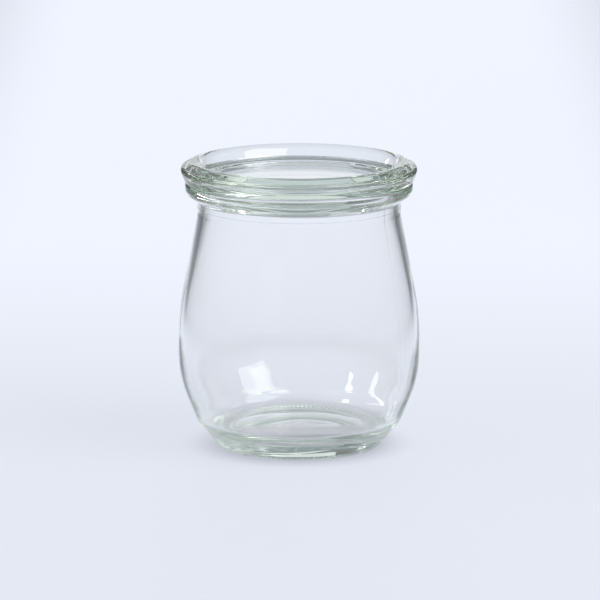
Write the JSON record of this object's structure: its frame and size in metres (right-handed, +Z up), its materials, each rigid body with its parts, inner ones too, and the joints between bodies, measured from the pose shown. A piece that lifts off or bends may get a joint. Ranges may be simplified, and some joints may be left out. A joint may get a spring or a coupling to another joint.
{
  "type": "lidded glass tulip jar",
  "caption": "Small clear-glass tulip jar with a rounded belly, a flanged rim and a loose dished glass lid, for preserves and desserts.",
  "frame": {"origin": "centre of the foot ring, on the surface that the jar stands on", "axes": "+Z up along the axis that both pieces are turned about"},
  "size_m": [0.071, 0.071, 0.0845],
  "materials": {
    "jar_glass": "clear moulded soda-lime glass, faint green in the thick parts",
    "lid_glass": "clear pressed soda-lime glass, faint green in the thick parts"
  },
  "bodies": {
    "root": {"jar": "jar_glass", "lid": "lid_glass"}
  },
  "joints": []
}
